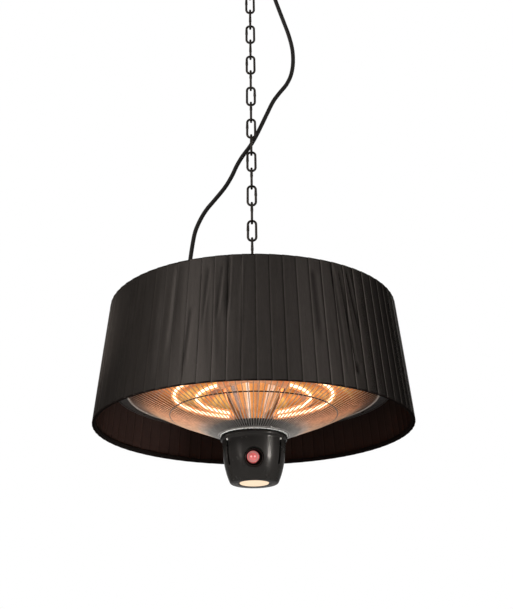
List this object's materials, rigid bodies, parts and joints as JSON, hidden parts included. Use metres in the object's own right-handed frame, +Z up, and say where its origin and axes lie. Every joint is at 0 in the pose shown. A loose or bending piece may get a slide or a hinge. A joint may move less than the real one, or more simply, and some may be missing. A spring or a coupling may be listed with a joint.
{
  "type": "hanging patio heater",
  "caption": "Round electric heater head with glowing tubes behind a wire grille, under a fabric drum shade, hung from a ceiling rose by a chain and snap hook.",
  "frame": {"origin": "middle of the ceiling plate's upper face, which lies against the ceiling", "axes": "+Z up, out of the ceiling plate's upper face; the receiver in the nose faces -Y, and +X is to the right seen from there"},
  "size_m": [0.48, 0.48, 0.963],
  "materials": {
    "zinc_steel": "zinc plated, satin",
    "black_steel": "satin black heat-proof paint",
    "polished_aluminium": "polished to a mirror",
    "grille_steel": "bright drawn wire",
    "shade_fabric": "charcoal pleated fabric",
    "satin_black_plastic": "satin black",
    "hot_tube": "quartz tube with a glowing element",
    "ceramic": "unglazed ceramic",
    "red_lens": "clear red",
    "warm_lamp": "milky diffuser",
    "circuit_board": "solder mask",
    "black_rubber": "matt"
  },
  "bodies": {
    "ceiling_mount": {"ceiling_plate": "zinc_steel", "ceiling_rose": "satin_black_plastic", "rose_nut": "zinc_steel", "ceiling_hook": "zinc_steel", "rose_gland": "black_rubber"},
    "top_link": {"chain_link_01": "zinc_steel"},
    "second_link": {"chain_link_02": "zinc_steel"},
    "chain": {"chain_link_03": "zinc_steel", "chain_link_04": "zinc_steel", "chain_link_05": "zinc_steel", "chain_link_06": "zinc_steel", "chain_link_07": "zinc_steel", "chain_link_08": "zinc_steel", "chain_link_09": "zinc_steel", "chain_link_10": "zinc_steel", "chain_link_11": "zinc_steel", "chain_link_12": "zinc_steel", "chain_link_13": "zinc_steel", "chain_link_14": "zinc_steel", "chain_link_15": "zinc_steel", "chain_link_16": "zinc_steel", "chain_link_17": "zinc_steel", "chain_link_18": "zinc_steel", "chain_link_19": "zinc_steel", "power_cord": "black_rubber"},
    "snap_hook": {"snap_hook": "zinc_steel"},
    "gate": {"snap_hook_gate": "zinc_steel"},
    "heater": {"eye_bolt": "zinc_steel", "eye_nut": "zinc_steel", "shade_fabric": "shade_fabric", "shade_top_ring": "black_steel", "shade_bottom_ring": "black_steel", "shade_spider": "black_steel", "housing": "black_steel", "flange_ring": "black_steel", "reflector": "polished_aluminium", "grille": "grille_steel", "grille_collar": "polished_aluminium", "inner_plate": "black_steel", "center_column": "polished_aluminium", "heating_tube_outer_right": "hot_tube", "heating_tube_outer_left": "hot_tube", "heating_tube_inner_right": "hot_tube", "heating_tube_inner_left": "hot_tube", "tube_holder_rear": "ceramic", "tube_holder_front": "ceramic", "nose_housing": "satin_black_plastic", "nose_base": "satin_black_plastic", "nose_screw_left": "zinc_steel", "nose_screw_right": "zinc_steel", "led_lens": "warm_lamp", "led_board": "circuit_board", "control_board": "circuit_board", "receiver_bezel": "satin_black_plastic", "receiver_lens": "red_lens", "terminal_block": "ceramic", "thermal_cutout": "zinc_steel", "cable_gland": "black_rubber", "strain_relief": "black_rubber"}
  },
  "joints": [
    {"name": "chain_swing_front", "type": "hinge", "parent": "ceiling_mount", "child": "top_link", "pos_m": [0, 0, -0.058], "axis": [1, 0, 0], "range_deg": [-30, 30], "deforming": ["power_cord"]},
    {"name": "chain_swing_side", "type": "hinge", "parent": "top_link", "child": "second_link", "pos_m": [0, 0, -0.0895], "axis": [0, 1, 0], "range_deg": [-30, 30]},
    {"name": "chain_twist", "type": "hinge", "parent": "second_link", "child": "chain", "pos_m": [0, 0, -0.1215], "axis": [0, 0, 1], "range_deg": [-30, 30]},
    {"name": "snap_hook_swing", "type": "hinge", "parent": "chain", "child": "snap_hook", "pos_m": [0, 0, -0.6655], "axis": [0, -1, 0], "range_deg": [-30, 30]},
    {"name": "heater_tilt", "type": "hinge", "parent": "snap_hook", "child": "heater", "pos_m": [0, 0, -0.7057], "axis": [-1, 0, 0], "range_deg": [-30, 30]},
    {"name": "snap_hook_gate", "type": "hinge", "parent": "snap_hook", "child": "gate", "pos_m": [0.007, 0, -0.6926], "axis": [0, -1, 0], "range_deg": [0, 18], "stiffness_Nm_per_rad": 0.05, "springref_deg": -11.46}
  ]
}
